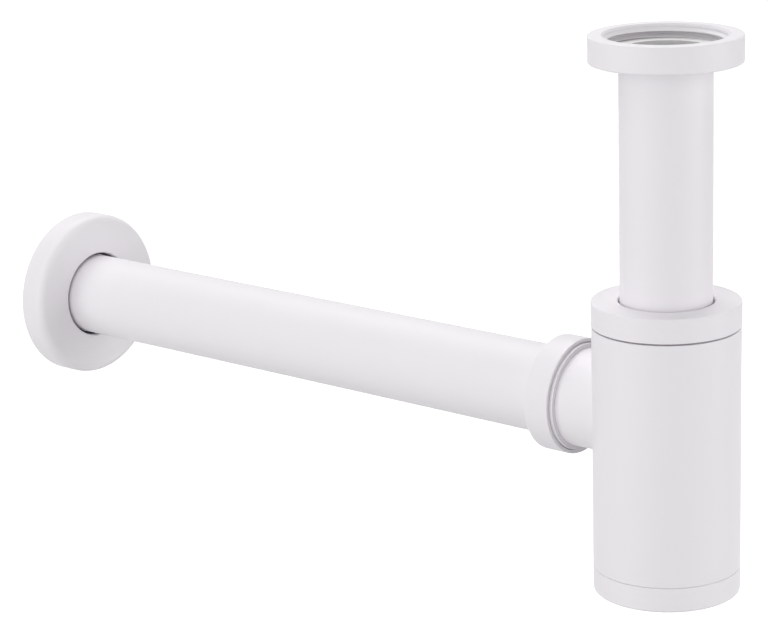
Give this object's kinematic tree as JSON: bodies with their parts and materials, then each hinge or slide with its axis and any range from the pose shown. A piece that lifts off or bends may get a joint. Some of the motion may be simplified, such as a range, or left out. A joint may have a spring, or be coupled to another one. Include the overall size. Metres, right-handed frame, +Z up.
{
  "type": "basin trap",
  "caption": "White round bottle trap for a wash basin: union nut, inlet tube, bottle with screwed base cup, and a straight outlet pipe with a wall flange.",
  "frame": {"origin": "on the inlet's axis at the washer's top face, where the end of the basin waste seats inside the union nut", "axes": "+Z up along the inlet tube, +Y along the outlet pipe to the wall"},
  "size_m": [0.0656, 0.3334, 0.1969],
  "materials": {
    "white_coat": "satin white powder coat on brass",
    "washer_plastic": "moulded natural polyethylene",
    "ring_plastic": "moulded natural polypropylene",
    "seal_rubber": "moulded matt rubber"
  },
  "bodies": {
    "basin_nut": {"basin_union_nut": "white_coat"},
    "washer": {"basin_washer": "washer_plastic"},
    "inlet": {"inlet_tube": "white_coat"},
    "bottle": {"bottle_body": "white_coat", "gland_cone_seal": "seal_rubber", "outlet_cone_seal": "seal_rubber"},
    "gland_ring": {"gland_slip_ring": "ring_plastic"},
    "gland_screw": {"gland_nut": "white_coat"},
    "cup_ring": {"base_o_ring": "seal_rubber"},
    "cup_screw": {"base_cup": "white_coat"},
    "outlet_ring": {"outlet_slip_ring": "ring_plastic"},
    "outlet_screw": {"outlet_nut": "white_coat"},
    "pipe": {"outlet_pipe": "white_coat"},
    "flange": {"wall_flange": "white_coat", "flange_grip_ring": "seal_rubber"}
  },
  "joints": [
    {"name": "union_drop", "type": "slide", "parent": "basin_nut", "child": "washer", "axis": [0, 0, 1], "range_m": [0, 0.06]},
    {"name": "trap_swivel", "type": "hinge", "parent": "washer", "child": "inlet", "pos_m": [0, 0, 0], "axis": [0, 0, 1], "continuous": true},
    {"name": "height_adjust", "type": "slide", "parent": "inlet", "child": "bottle", "axis": [0, 0, 1], "range_m": [-0.015, 0.006]},
    {"name": "gland_lift", "type": "slide", "parent": "bottle", "child": "gland_ring", "axis": [0, 0, 1], "range_m": [0, 0.006]},
    {"name": "gland_turn", "type": "hinge", "parent": "gland_ring", "child": "gland_screw", "pos_m": [0, 0, 0], "axis": [0, 0, 1], "range_deg": [0, 1080]},
    {"name": "cup_drop", "type": "slide", "parent": "bottle", "child": "cup_ring", "axis": [0, 0, -1], "range_m": [0, 0.008]},
    {"name": "cup_turn", "type": "hinge", "parent": "cup_ring", "child": "cup_screw", "pos_m": [0, 0, 0], "axis": [0, 0, -1], "range_deg": [0, 1440]},
    {"name": "outlet_draw", "type": "slide", "parent": "bottle", "child": "outlet_ring", "axis": [0, 1, 0], "range_m": [0, 0.006]},
    {"name": "outlet_turn", "type": "hinge", "parent": "outlet_ring", "child": "outlet_screw", "pos_m": [0, 0, -0.12835], "axis": [0, 1, 0], "range_deg": [0, 1440]},
    {"name": "wall_reach", "type": "slide", "parent": "bottle", "child": "pipe", "axis": [0, 1, 0], "range_m": [-0.0045, 0.006]},
    {"name": "flange_slide", "type": "slide", "parent": "pipe", "child": "flange", "axis": [0, 1, 0], "range_m": [-0.2, 0]}
  ],
  "couplings": [
    {"joint": "gland_lift", "follows": "gland_turn", "m_per_rad": 0.00031831},
    {"joint": "cup_drop", "follows": "cup_turn", "m_per_rad": 0.00031831},
    {"joint": "outlet_draw", "follows": "outlet_turn", "m_per_rad": 0.00023873}
  ]
}
